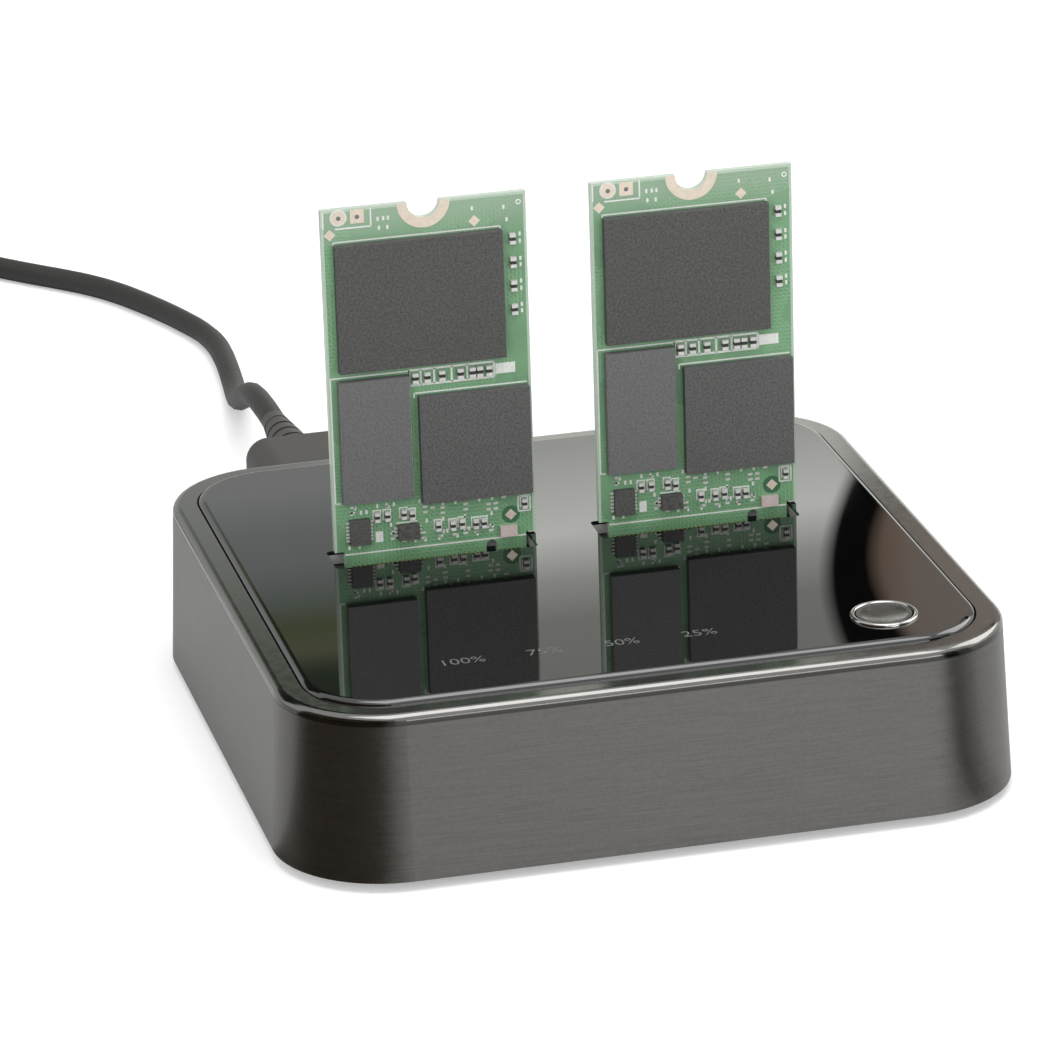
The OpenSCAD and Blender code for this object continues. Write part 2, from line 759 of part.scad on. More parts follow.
module part_at(p, t) {
    on_face(p[0], p[1], p[2], p[3], t);
}

module drive_board(x) {
    color("#6fa37a") difference() {
        union() {
            translate([x - card_w / 2, card_front, card_z + tongue_l]) cube([card_w, card_t, card_l - tongue_l]);
            translate([x - tongue_w / 2, card_front, card_z]) cube([tongue_w, card_t, tongue_l]);
        }
        translate([x, card_back + 1, card_top]) rotate([90, 0, 0]) cylinder(h = card_t + 2, r = notch_r);
        translate([x + key_x, card_back + 1, card_z + key_l - key_w / 2])
            rotate([90, 0, 0]) cylinder(h = card_t + 2, r = key_w / 2);
        block(x + key_x, drive_y, card_z - 1, key_w, card_t + 2, key_l - key_w / 2 + 1);
    }
}

module drive_flash(x) {
    color("#4b4b4d") on_card(x) part_at(flash_at, chip_h);
}

module drive_memory(x) {
    color("#515153") on_card(x) part_at(memory_at, chip_h);
}

module drive_controller(x) {
    color("#4b4b4d") on_card(x) part_at(controller_at, chip_h);
}

module drive_chips(x) {
    color("#3c3c3e") on_card(x) for (p = foot_chips) part_at(p, p[4]);
}

module drive_passives(x) {
    color("#38352f") on_card(x) {
        for (u = row_x) on_face(u, row_z, part_w, part_h, part_t);
        for (v = column_z) on_face(column_x, v, part_w, part_h, part_t);
        for (p = foot_parts) on_face(p[0], p[1], part_w - 0.1, part_h - 0.1, part_t);
    }
    color("#d8b9ac") on_card(x) part_at(inductor_at, part_t);
}

module drive_contacts(x) {
    z = card_z + finger_in;
    color("#d9b85c") for (i = [0 : contact_n - 1]) if (clear_of_key(contact_at(i))) {
        block(x + contact_at(i), card_front - pad_t / 2, z, finger_w, pad_t, finger_l);
        block(x + contact_at(i), card_back + pad_t / 2, z, finger_w, pad_t, finger_l);
    }
}

module drive_pads(x) {
    ring_r = notch_r + ring_w;
    color("#d8b79a") {
        for (y = [card_front, card_back + pad_t]) translate([x, y, card_top]) rotate([90, 0, 0])
            linear_extrude(pad_t) difference() {
                circle(ring_r);
                circle(notch_r);
                translate([-ring_r, 0]) square(2 * ring_r);
            }
        on_card(x) {
            translate([round_pad[0], 0, round_pad[1]]) rotate([90, 0, 0]) cylinder(h = pad_t, r = round_pad_r);
            part_at(square_pad, pad_t);
            for (p = diamonds) translate([p[0], 0, p[1]]) rotate([0, 45, 0]) on_face(0, 0, diamond_w, diamond_w, pad_t);
        }
    }
}

// lead

module plug_metal() {
    rotate([90, 0, 0]) linear_extrude(plug_l + plug_gap) difference() {
        stadium(plug_w, plug_h);
        stadium(plug_w - 0.6, plug_h - 0.6);
    }
}

// the moulded grip runs along +Y from the face that meets the metal shell
module plug_moulding() {
    nose = 1.2;
    translate([0, grip_l, 0]) rotate([90, 0, 0]) linear_extrude(grip_l - nose)
        rrect(grip_w, grip_t, grip_t / 2 - 0.6);
    translate([0, nose, 0]) rotate([90, 0, 0]) linear_extrude(nose)
        rrect(grip_w - 1, grip_t - 1, grip_t / 2 - 1.1);
}

module relief() {
    ribs = 4;
    color("#2c2c2e") rotate([-90, 0, 0]) difference() {
        cylinder(h = relief_l, r1 = grip_t / 2 - 0.5, r2 = cord_r);
        for (i = [1 : ribs]) translate([0, 0, i * relief_l / (ribs + 1)]) rotate_extrude()
            translate([cord_r + 0.15, -0.35]) square([grip_t, 0.7]);
    }
}

module near_plug() {
    translate([-usb_x, rear + plug_gap, usb_z]) children();
}

module far_plug() {
    translate(tail_end) rotate(tail_aim + 90) translate([0, -relief_l - grip_l, 0]) children();
}

function unit(v) = v / norm(v);
function heading(p, i) = unit(p[min(i + 1, len(p) - 1)] - p[max(i - 1, 0)]);
function ring_at(c, t, r, n) =
    let (side = unit(cross(t, [0, 0, 1])), up = cross(side, t))
    [for (k = [0 : n - 1]) c + r * (cos(360 * (k + 0.5) / n) * side + sin(360 * (k + 0.5) / n) * up)];

module tube(p, r, n) {
    m = len(p);
    skin = [for (i = [0 : m - 1]) each ring_at(p[i], heading(p, i), r, n)];
    sides = [for (i = [0 : m - 2], k = [0 : n - 1]) let (a = i * n + k, b = i * n + (k + 1) % n)
        each [[a, a + n, b + n], [a, b + n, b]]];
    first = [for (k = [1 : n - 2]) [0, k, k + 1]];
    last = [for (k = [1 : n - 2]) let (o = (m - 1) * n) [o, o + k + 1, o + k]];
    polyhedron(points = skin, faces = concat(sides, first, last));
}

// the coil winds inwards on the floor, climbs as it turns round, and winds outwards on top
function coil_point(a) =
    let (half = coil_loops * 180, r = coil_min_r + coil_step * abs(a - half) / 360,
        climb = min(1, max(0, (a - half + 90) / 180)), turn = coil_turn + a)
    coil_mid + [r * cos(turn), r * sin(turn), coil_step * climb];
function coil_path() = [for (i = [0 : coil_loops * coil_rings]) coil_point(i * 360 / coil_rings)];
coil_top = [0, 0, coil_step];
coil_line = concat([coil_in - cord_d * coil_dir], coil_path(), [coil_in + coil_top + cord_d * coil_dir]);

module cord() {
    meet = coil_in - cord_d * coil_dir;
    color("#202022") tube(
        concat([cord_start, cord_start + [0, cord_d, 0]], cord_route, [meet - cord_d * coil_dir, meet]), cord_r, 8);
}

module cord_coil() {
    color("#202022") tube(coil_line, cord_r, 6);
}

module cord_tail() {
    leave = coil_in + coil_top + cord_d * coil_dir;
    aim = [cos(tail_aim), sin(tail_aim), 0];
    color("#202022") tube(
        concat([leave, leave + cord_d * coil_dir], tail_route, [tail_end - cord_d * aim, tail_end]), cord_r, 8);
}

coil_gap = min([for (i = [0 : len(coil_line) - 1], j = [i + coil_rings / 2 : 1 : len(coil_line) - 1])
    norm(coil_line[i] - coil_line[j])]) - cord_d;
echo(least_gap_in_coil = coil_gap);

side_frame();
top_bezel();
top_panel();
inner_frame();
slot_liner(left_x);  // left_slot_liner
slot_liner(right_x);  // right_slot_liner
base_cover();
rubber_feet();
base_screws();
main_board();
board_screws();
socket(left_x);  // left_socket
socket_contacts(left_x);  // left_socket_contacts
socket(right_x);  // right_socket
socket_contacts(right_x);  // right_socket_contacts
clone_controller();
bridge_chips();
crystals();
power_inductors();
bulk_capacitors();
board_capacitors();
status_leds();
light_guide();
usb_port_shell();
usb_port_tongue();
dc_jack_housing();
dc_jack_pin();
power_switch_case();
power_switch_slider();
button_ring();
button_cap();
button_switch_case();
button_switch_plunger();
drive_board(left_x);  // left_drive_board
drive_flash(left_x);  // left_drive_flash
drive_memory(left_x);  // left_drive_memory
drive_controller(left_x);  // left_drive_controller
drive_chips(left_x);  // left_drive_chips
drive_passives(left_x);  // left_drive_passives
drive_contacts(left_x);  // left_drive_contacts
drive_pads(left_x);  // left_drive_pads
drive_board(right_x);  // right_drive_board
drive_flash(right_x);  // right_drive_flash
drive_memory(right_x);  // right_drive_memory
drive_controller(right_x);  // right_drive_controller
drive_chips(right_x);  // right_drive_chips
drive_passives(right_x);  // right_drive_passives
drive_contacts(right_x);  // right_drive_contacts
drive_pads(right_x);  // right_drive_pads
color("silver") near_plug() plug_metal();  // plug_shell
color("#2c2c2e") near_plug() plug_moulding();  // plug_grip
near_plug() translate([0, grip_l, 0]) relief();  // strain_relief
cord();
cord_coil();
cord_tail();
far_plug() translate([0, grip_l, 0]) relief();  // far_strain_relief
color("#2c2c2e") far_plug() plug_moulding();  // far_plug_grip
color("silver") far_plug() plug_metal();  // far_plug_shell
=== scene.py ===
"""Looks of a docking station for two solid state drives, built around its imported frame."""
import json
import math

import bpy
from mathutils import Matrix, Vector


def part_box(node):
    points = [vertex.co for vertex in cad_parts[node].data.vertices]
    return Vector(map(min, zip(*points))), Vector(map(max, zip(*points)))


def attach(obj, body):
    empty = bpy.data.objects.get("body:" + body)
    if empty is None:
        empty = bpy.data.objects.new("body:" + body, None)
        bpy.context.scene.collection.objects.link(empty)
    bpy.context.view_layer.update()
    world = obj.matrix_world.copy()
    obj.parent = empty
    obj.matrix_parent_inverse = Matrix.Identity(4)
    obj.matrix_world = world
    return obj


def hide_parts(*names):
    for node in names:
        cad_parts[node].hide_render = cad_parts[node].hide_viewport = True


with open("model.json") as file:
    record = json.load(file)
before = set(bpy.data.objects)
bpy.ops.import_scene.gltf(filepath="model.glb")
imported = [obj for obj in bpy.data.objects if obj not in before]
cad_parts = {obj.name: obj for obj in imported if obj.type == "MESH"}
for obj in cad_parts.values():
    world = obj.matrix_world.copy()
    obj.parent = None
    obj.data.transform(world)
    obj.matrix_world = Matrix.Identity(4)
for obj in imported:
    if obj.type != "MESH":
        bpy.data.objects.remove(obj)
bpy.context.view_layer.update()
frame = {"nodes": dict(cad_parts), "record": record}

MM = 0.001
nodes = frame["nodes"]
SIDES = ("left", "right")

# Camera, with the photograph's frame of 1046 by 1046 pixels

PHOTO_SIDE = 1046
FOCAL_PIXELS = 5878
SENSOR = 36
CAMERA_AZIMUTH = math.radians(-13.19)
CAMERA_ELEVATION = math.radians(20.5)
CAMERA_ROLL = math.radians(-1.85)
CAMERA_DISTANCE = 0.6276
CAMERA_TARGET = Vector((-0.00418, 0.00578, 0.0208))


def make_camera():
    back = Vector((math.sin(CAMERA_AZIMUTH) * math.cos(CAMERA_ELEVATION),
                   -math.cos(CAMERA_AZIMUTH) * math.cos(CAMERA_ELEVATION),
                   math.sin(CAMERA_ELEVATION)))
    level = Vector((math.cos(CAMERA_AZIMUTH), math.sin(CAMERA_AZIMUTH), 0))
    upright = back.cross(level)
    right = math.cos(CAMERA_ROLL) * level + math.sin(CAMERA_ROLL) * upright
    up = back.cross(right)
    data = bpy.data.cameras.new("camera")
    data.sensor_width = SENSOR
    data.lens = FOCAL_PIXELS / PHOTO_SIDE * SENSOR
    data.clip_start = 0.01
    data.clip_end = 20
    camera = bpy.data.objects.new("camera", data)
    axes = Matrix((right, up, back)).transposed()
    camera.matrix_world = Matrix.Translation(CAMERA_TARGET + back * CAMERA_DISTANCE) @ axes.to_4x4()
    bpy.context.scene.collection.objects.link(camera)
    bpy.context.scene.camera = camera


make_camera()
bpy.context.scene.view_settings.view_transform = "Standard"

# Lead, whose route repeats the points of the solid part

LEAD_DIAMETER = 0.0028
LEAD_START = Vector((-0.018, 0.073017, 0.01118))
LEAD_ROUTE = [
    (-0.018, 0.08, 0.011), (-0.0179, 0.085, 0.0104), (-0.0176, 0.09, 0.009), (-0.0172, 0.096, 0.0066),
    (-0.0166, 0.102, 0.0042), (-0.0159, 0.108, 0.0024), (-0.0151, 0.114, 0.0015), (-0.0144, 0.121, 0.0014),
    (-0.014, 0.127, 0.0014), (-0.014, 0.132, 0.0014), (-0.0147, 0.137, 0.0014), (-0.0161, 0.1418, 0.0014),
    (-0.0179, 0.1468, 0.0014), (-0.0202, 0.1522, 0.0014), (-0.0226, 0.157, 0.0014), (-0.0254, 0.1612, 0.0014),
    (-0.0284, 0.1647, 0.0014), (-0.0315, 0.168, 0.0014), (-0.0348, 0.1717, 0.0014), (-0.0382, 0.1759, 0.0014),
    (-0.0416, 0.1806, 0.0014), (-0.0449, 0.1856, 0.0014),
]
COIL_IN = Vector((-0.052, 0.194, 0.0014))
COIL_TURN = math.radians(45)
COIL_STEP = 0.0033
COIL_LOOPS = 8
COIL_RINGS = 24
COIL_MIDDLE_R = 0.0154
TAIL_ROUTE = [
    (-0.06, 0.2018, 0.0043), (-0.0665, 0.2053, 0.0034), (-0.075, 0.2066, 0.0024), (-0.0835, 0.2047, 0.0017),
    (-0.091, 0.2, 0.0014), (-0.097, 0.193, 0.0014), (-0.101, 0.1845, 0.0015), (-0.1026, 0.1755, 0.0019),
    (-0.1015, 0.1665, 0.0026), (-0.0986, 0.159, 0.0032),
]
TAIL_END = Vector((-0.094, 0.1516, 0.0033))
TAIL_AIM = math.radians(-58)


def coil_points():
    """The coil winds inwards on the floor, climbs as it turns round, and winds outwards on top."""
    inner = COIL_MIDDLE_R - COIL_LOOPS / 4 * COIL_STEP
    outer = COIL_MIDDLE_R + COIL_LOOPS / 4 * COIL_STEP
    middle = COIL_IN - outer * Vector((math.cos(COIL_TURN), math.sin(COIL_TURN), 0))
    half = COIL_LOOPS * math.pi
    points = []
    for ring in range(COIL_LOOPS * COIL_RINGS + 1):
        turned = ring * 2 * math.pi / COIL_RINGS
        radius = inner + COIL_STEP * abs(turned - half) / (2 * math.pi)
        climb = min(1, max(0, (turned - half + math.pi / 2) / math.pi))
        angle = COIL_TURN + turned
        offset = Vector((radius * math.cos(angle), radius * math.sin(angle), COIL_STEP * climb))
        points.append(middle + offset)
    return points


def lead_points():
    along = Vector((math.cos(COIL_TURN + math.pi / 2), math.sin(COIL_TURN + math.pi / 2), 0))
    out = COIL_IN + Vector((0, 0, COIL_STEP))
    aim = Vector((math.cos(TAIL_AIM), math.sin(TAIL_AIM), 0))
    points = [LEAD_START, LEAD_START + Vector((0, LEAD_DIAMETER, 0))]
    points += [Vector(p) for p in LEAD_ROUTE]
    points += [COIL_IN - 2 * LEAD_DIAMETER * along, COIL_IN - LEAD_DIAMETER * along]
    points += coil_points()
    points += [out + LEAD_DIAMETER * along, out + 2 * LEAD_DIAMETER * along]
    points += [Vector(p) for p in TAIL_ROUTE]
    return points + [TAIL_END - LEAD_DIAMETER * aim, TAIL_END]


def make_lead():
    points = lead_points()
    data = bpy.data.curves.new("lead", "CURVE")
    data.dimensions = "3D"
    data.bevel_depth = 1
    data.bevel_resolution = 4
    data.resolution_u = 5
    data.use_fill_caps = True
    spline = data.splines.new("BEZIER")
    spline.bezier_points.add(len(points) - 1)
    for place, point in zip(spline.bezier_points, points):
        place.co = point
        place.radius = LEAD_DIAMETER / 2
        place.handle_left_type = "AUTO"
        place.handle_right_type = "AUTO"
    lead = bpy.data.objects.new("lead", data)
    bpy.context.scene.collection.objects.link(lead)
    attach(lead, "station")
    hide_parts("cord", "cord_coil", "cord_tail")
    return lead


lead = make_lead()

# Node building


class Paint:
    """A material whose nodes are added by short calls; coordinates are the object's own, in metres."""

    def __init__(self, name, color, roughness, metallic=0.0):
        self.material = bpy.data.materials.new(name)
        self.material.use_nodes = True
        self.tree = self.material.node_tree
        self.shader = self.tree.nodes["Principled BSDF"]
        self.set("Base Color", (*color, 1))
        self.set("Roughness", roughness)
        self.set("Metallic", metallic)
        texture = self.tree.nodes.new("ShaderNodeTexCoord")
        self.coordinates = texture.outputs["Object"]
        self.normals = texture.outputs["Normal"]

    def set(self, socket, value):
        self.shader.inputs[socket].default_value = value

    def link(self, output, target):
        self.tree.links.new(output, target)

    def feed(self, node, socket, value):
        """A socket gets a link or a plain number."""
        if hasattr(value, "is_output"):
            self.link(value, node.inputs[socket])
        else:
            node.inputs[socket].default_value = value

    def math(self, operation, first, second=0.0, third=0.0):
        node = self.tree.nodes.new("ShaderNodeMath")
        node.operation = operation
        for socket, value in enumerate((first, second, third)):
            self.feed(node, socket, value)
        return node.outputs["Value"]

    def axes(self, vector):
        node = self.tree.nodes.new("ShaderNodeSeparateXYZ")
        self.link(vector, node.inputs["Vector"])
        return [node.outputs[axis] for axis in "XYZ"]

    def point(self, x, y, z):
        node = self.tree.nodes.new("ShaderNodeCombineXYZ")
        for socket, value in zip("XYZ", (x, y, z)):
            self.feed(node, socket, value)
        return node.outputs["Vector"]

    def place(self, scale, vector=None):
        mapping = self.tree.nodes.new("ShaderNodeMapping")
        mapping.inputs["Scale"].default_value = scale if hasattr(scale, "__len__") else (scale,) * 3
        self.link(vector or self.coordinates, mapping.inputs["Vector"])
        return mapping.outputs["Vector"]

    def noise(self, scale, detail=3.0, rough=0.5, warp=0.0):
        node = self.tree.nodes.new("ShaderNodeTexNoise")
        node.inputs["Scale"].default_value = 1
        node.inputs["Detail"].default_value = detail
        node.inputs["Roughness"].default_value = rough
        node.inputs["Distortion"].default_value = warp
        self.link(self.place(scale), node.inputs["Vector"])
        return node.outputs["Fac"]

    def cells(self, scale, vector):
        """Distance to the middle of each cell on a plane, and a number of the cell's own."""
        node = self.tree.nodes.new("ShaderNodeTexVoronoi")
        node.voronoi_dimensions = "2D"
        node.inputs["Scale"].default_value = 1
        self.link(self.place(scale, vector), node.inputs["Vector"])
        return node.outputs["Distance"], self.axes(node.outputs["Color"])[0]

    def span(self, value, low, high, out_low=0.0, out_high=1.0):
        node = self.tree.nodes.new("ShaderNodeMapRange")
        limits = {"From Min": low, "From Max": high, "To Min": out_low, "To Max": out_high}
        for socket, number in limits.items():
            node.inputs[socket].default_value = number
        self.link(value, node.inputs["Value"])
        return node.outputs["Result"]

    def blend(self, factor, first, second):
        node = self.tree.nodes.new("ShaderNodeMix")
        node.data_type = "RGBA"
        for socket, color in zip(("A", "B"), (first, second)):
            target = [s for s in node.inputs if s.name == socket and s.type == "RGBA"][0]
            if hasattr(color, "is_output"):
                self.link(color, target)
            else:
                target.default_value = (*color, 1)
        self.link(factor, node.inputs["Factor"])
        return [s for s in node.outputs if s.type == "RGBA"][0]

    def tint(self, output):
        self.link(output, self.shader.inputs["Base Color"])

    def gloss(self, output):
        self.link(output, self.shader.inputs["Roughness"])

    def bump(self, height, strength, distance):
        node = self.tree.nodes.new("ShaderNodeBump")
        node.inputs["Strength"].default_value = strength
        node.inputs["Distance"].default_value = distance
        self.link(height, node.inputs["Height"])
        self.link(node.outputs["Normal"], self.shader.inputs["Normal"])


def shade(color, factor):
    return tuple(min(1.0, channel * factor) for channel in color)


GRAIN_DEPTH = 0.03 * MM
MARK_DEPTH = 0.01 * MM
TRACK_DEPTH = 0.02 * MM


def moulded(name, color, roughness, grain=4000, contrast=0.12):
    """Moulded plastic: a fine grain, with slow drifts in tone and gloss."""
    paint = Paint(name, color, roughness)
    drift = paint.noise(90)
    fine = paint.noise(grain, 2)
    slow = paint.blend(drift, shade(color, 0.9), shade(color, 1.1))
    paint.tint(paint.blend(paint.span(fine, 0.35, 0.65), shade(color, 1 - contrast), slow))
    paint.gloss(paint.span(fine, 0.3, 0.7, roughness - 0.08, roughness + 0.1))
    paint.bump(fine, 0.25, GRAIN_DEPTH)
    return paint.material


def metal(name, color, roughness, scale, depth=MARK_DEPTH, contrast=0.13):
    """Bare metal with fine marks."""
    paint = Paint(name, color, roughness, 1.0)
    marks = paint.noise(scale, 4, 0.6)
    share = paint.span(marks, 0.3, 0.7)
    paint.tint(paint.blend(share, shade(color, 1 - contrast), shade(color, 1 + contrast)))
    paint.gloss(paint.span(marks, 0.3, 0.7, roughness * 0.8, roughness * 1.25))
    paint.bump(marks, 0.15, depth)
    return paint.material


# Solder mask, whose tracks, vias and pale edges follow the drive's own sizes

left_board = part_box("left_drive_board")
right_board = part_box("right_drive_board")
PAIR_MIDDLE = (left_board[0][0] + right_board[1][0]) / 2
HALF_PITCH = (right_board[0][0] - left_board[0][0]) / 2
BOARD_HALF = (left_board[1][0] - left_board[0][0]) / 2
BOARD_TOP = left_board[1][2]
BORDER = 0.28 * MM
TRACK_PITCH = 0.42 * MM
TRACK_EDGE = (0.05 * MM, 0.09 * MM)
PATCH_CELL = 5.5 * MM
VIA_CELL = 1.15 * MM
VIA_RING = 0.17
VIA_HOLE = 0.075
VIA_FROM = 0.8
# Heights between which a painted sheen pales the board's top strip
SHEEN_HIGH = BOARD_TOP - 1.08 * MM
SHEEN_LOW = BOARD_TOP - 4.68 * MM


def solder_mask(name, deep, pale, edge):
    """Green lacquer: fine tracks in patches, plated holes, a painted sheen that pales the strip at the top,
    and bare pale edges.
    """
    paint = Paint(name, deep, 0.3)
    x, _, z = paint.axes(paint.coordinates)
    flat = paint.point(x, z, 0.0)

    # Tracks run one way or the other in each patch, and some patches have none
    patch = paint.cells(1 / PATCH_CELL, flat)[1]
    upright = paint.math("PINGPONG", x, TRACK_PITCH / 2)
    level = paint.math("PINGPONG", z, TRACK_PITCH / 2)
    slant = paint.math("PINGPONG", paint.math("ADD", x, z), TRACK_PITCH * 0.7)
    pick = paint.math("GREATER_THAN", patch, 0.5)
    lines = paint.math("ADD", paint.math("MULTIPLY", upright, pick),
                       paint.math("MULTIPLY", level, paint.math("SUBTRACT", 1.0, pick)))
    lines = paint.math("MINIMUM", lines, slant)
    extreme = paint.math("ABSOLUTE", paint.math("SUBTRACT", patch, 0.5))
    tracked = paint.math("LESS_THAN", extreme, 0.33)
    track = paint.math("MULTIPLY", paint.span(lines, *TRACK_EDGE, 1, 0), tracked)

    cloud = paint.span(paint.noise(260, 3), 0.3, 0.7)
    tone = paint.blend(cloud, shade(deep, 0.88), shade(deep, 1.12))
    tone = paint.blend(paint.math("MULTIPLY", track, 0.5), tone, shade(deep, 1.5))

    hole, chance = paint.cells(1 / VIA_CELL, flat)
    drilled = paint.math("GREATER_THAN", chance, VIA_FROM)
    ring = paint.math("MULTIPLY", paint.math("LESS_THAN", hole, VIA_RING), drilled)
    core = paint.math("MULTIPLY", paint.math("LESS_THAN", hole, VIA_HOLE), drilled)
    tone = paint.blend(paint.math("MULTIPLY", ring, 0.45), tone, pale)
    tone = paint.blend(paint.math("MULTIPLY", core, 0.7), tone, shade(deep, 0.25))
    # Painted sheen: the top strip is paled towards the pale colour
    tone = paint.blend(paint.span(z, SHEEN_LOW, SHEEN_HIGH, 0, 0.75), tone, pale)

    # The two boards are alike, so each is measured from its own middle
    off_middle = paint.math("ABSOLUTE", paint.math("SUBTRACT", x, PAIR_MIDDLE))
    across = paint.math("ABSOLUTE", paint.math("SUBTRACT", off_middle, HALF_PITCH))
    rim = paint.math("MAXIMUM", paint.math("GREATER_THAN", across, BOARD_HALF - BORDER),
                     paint.math("GREATER_THAN", z, BOARD_TOP - BORDER))
    tone = paint.blend(paint.math("MULTIPLY", rim, 0.75), tone, edge)
    side = paint.math("LESS_THAN", paint.math("ABSOLUTE", paint.axes(paint.normals)[1]), 0.5)
    paint.tint(paint.blend(side, tone, edge))
    paint.gloss(paint.span(cloud, 0, 1, 0.24, 0.36))
    paint.bump(track, 0.4, TRACK_DEPTH)
    return paint.material


def station_mask(name, color):
    """The main board's lacquer, with broad tracks."""
    paint = Paint(name, color, 0.35)
    tracks = paint.noise((700, 700, 260), 2, 0.4)
    paint.tint(paint.blend(paint.span(tracks, 0.52, 0.56), shade(color, 0.86), shade(color, 1.2)))
    paint.bump(tracks, 0.3, TRACK_DEPTH)
    return paint.material


def gloss_panel(name):
    """Black glass-like panel: a clear mirror with a few faint wipe marks."""
    paint = Paint(name, (0.003, 0.003, 0.003), 0.03)
    paint.set("IOR", 1.8)
    wipes = paint.noise((60, 25, 60), 5, 0.6, 0.4)
    paint.gloss(paint.span(wipes, 0.45, 0.8, 0.015, 0.06))
    return paint.material


# Painted shade along the joint between wall and rim, where the gap's shadow falls; on the rim it reaches up
# over its lower round
SEAM_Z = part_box("side_frame")[1][2]
GAP_SHADE_SOFT = 0.08 * MM
GAP_SHADE_ON_RIM = 0.42 * MM
GAP_SHADE_ON_WALL = 0.12 * MM
GAP_SHADE_TONE = 0.38


def painted_gap_shade(paint, color, tone, reach):
    """Tints the shader with painted shade within a reach of the joint between wall and rim."""
    away = paint.math("ABSOLUTE", paint.math("SUBTRACT", paint.axes(paint.coordinates)[2], SEAM_Z))
    clear = paint.span(away, reach - GAP_SHADE_SOFT, reach + GAP_SHADE_SOFT)
    paint.tint(paint.blend(clear, shade(color, GAP_SHADE_TONE), tone))


def polished_rim(name, color, roughness):
    """Polished metal, with tones that hardly drift, and painted shade along its lower edge at the wall."""
    paint = Paint(name, color, roughness, 1.0)
    marks = paint.noise(900, 4, 0.6)
    tone = paint.blend(paint.span(marks, 0.3, 0.7), shade(color, 0.96), shade(color, 1.04))
    painted_gap_shade(paint, color, tone, GAP_SHADE_ON_RIM)
    paint.gloss(paint.span(marks, 0.3, 0.7, roughness * 0.8, roughness * 1.25))
    return paint.material


def brushed_wall(name, color, roughness):
    """Brushed metal: long fine marks run level round the wall, with a thin painted shade along its top edge
    under the rim.
    """
    paint = Paint(name, color, roughness, 1.0)
    paint.set("Anisotropic", 0.7)
    paint.link(paint.point(0.0, 0.0, 1.0), paint.shader.inputs["Tangent"])
    fine = paint.noise((160, 160, 9000), 4, 0.6)
    grain = paint.noise(2600, 3, 0.6)
    marks = paint.math("ADD", paint.math("MULTIPLY", fine, 0.65), paint.math("MULTIPLY", grain, 0.35))
    tone = paint.blend(paint.span(marks, 0.36, 0.64), shade(color, 0.86), shade(color, 1.14))
    painted_gap_shade(paint, color, tone, GAP_SHADE_ON_WALL)
    paint.gloss(paint.span(marks, 0.35, 0.65, roughness * 0.88, roughness * 1.15))
    paint.bump(marks, 0.2, MARK_DEPTH)
    return paint.material


MATERIALS = {
    "brushed_wall": lambda n: brushed_wall(n, (0.135, 0.132, 0.126), 0.42),
    "polished_rim": lambda n: polished_rim(n, (0.19, 0.187, 0.18), 0.14),
    "gloss_black_panel": gloss_panel,
    "carrier_grey": lambda n: moulded(n, (0.17, 0.17, 0.175), 0.5),
    "liner_grey": lambda n: moulded(n, (0.4, 0.4, 0.39), 0.45),
    "base_black": lambda n: moulded(n, (0.022, 0.022, 0.024), 0.55),
    "foot_rubber": lambda n: moulded(n, (0.012, 0.012, 0.012), 0.8),
    "dark_steel": lambda n: metal(n, (0.06, 0.06, 0.065), 0.35, 1500),
    "bright_steel": lambda n: metal(n, (0.62, 0.61, 0.59), 0.25, 1500),
    "station_board": lambda n: station_mask(n, (0.02, 0.13, 0.055)),
    "black_plastic": lambda n: moulded(n, (0.02, 0.02, 0.022), 0.4),
    "gold": lambda n: metal(n, (0.85, 0.58, 0.2), 0.25, 1500),
    "chip_black": lambda n: moulded(n, (0.03, 0.03, 0.033), 0.5),
    "ceramic": lambda n: moulded(n, (0.35, 0.22, 0.11), 0.4),
    "led_lens": lambda n: moulded(n, (0.7, 0.74, 0.72), 0.2),
    "ring_chrome": lambda n: metal(n, (0.42, 0.41, 0.4), 0.13, 900, MARK_DEPTH / 10, 0.05),
    "cap_metal": lambda n: metal(n, (0.108, 0.105, 0.1), 0.26, 1200, contrast=0.1),
    "white_plastic": lambda n: moulded(n, (0.75, 0.75, 0.73), 0.4),
    "drive_board_green": lambda n: solder_mask(n, (0.158, 0.318, 0.172),
                                               (0.31, 0.42, 0.31), (0.52, 0.62, 0.52)),
    "package_black": lambda n: moulded(n, (0.104, 0.104, 0.101), 0.6, 4300, contrast=0.5),
    "drive_ceramic": lambda n: moulded(n, (0.03, 0.027, 0.024), 0.4),
    "pad_copper": lambda n: metal(n, (0.86, 0.76, 0.64), 0.4, 1500, contrast=0.1),
    "lead_black": lambda n: moulded(n, (0.024, 0.023, 0.022), 0.6),
}
materials = {slot: make(slot) for slot, make in MATERIALS.items()}
package_pale = moulded("package_pale", (0.168, 0.168, 0.168), 0.6, 4300, contrast=0.32)
package_grey = moulded("package_grey", (0.127, 0.127, 0.125), 0.6, 4300, contrast=0.45)
silk_white = moulded("silk_white", (0.78, 0.8, 0.76), 0.5)
solder_bright = moulded("solder_bright", (0.68, 0.68, 0.65), 0.35)
grip_grey = moulded("grip_grey", (0.062, 0.057, 0.052), 0.6)
blush_ceramic = moulded("blush_ceramic", (0.62, 0.52, 0.5), 0.4)
mask_dark = moulded("mask_dark", (0.05, 0.16, 0.08), 0.4)
panel_print = moulded("panel_print", (0.15, 0.15, 0.146), 0.5)


def dress():
    for row in frame["record"]["subparts"]:
        piece = nodes[row["node"]]
        piece.data.materials.clear()
        piece.data.materials.append(materials[row["material_slot"]])
    for side in SIDES:
        nodes[side + "_drive_memory"].data.materials[0] = package_pale
        nodes[side + "_drive_controller"].data.materials[0] = package_grey
    for name in ("plug_grip", "strain_relief", "far_plug_grip", "far_strain_relief"):
        nodes[name].data.materials[0] = grip_grey
    lead.data.materials.append(materials["lead_black"])


dress()

# Print, solder and leads on the drives. Plain numbers are in millimetres, and places are measured to the
# right from the middle of the board's top edge, and upwards from it


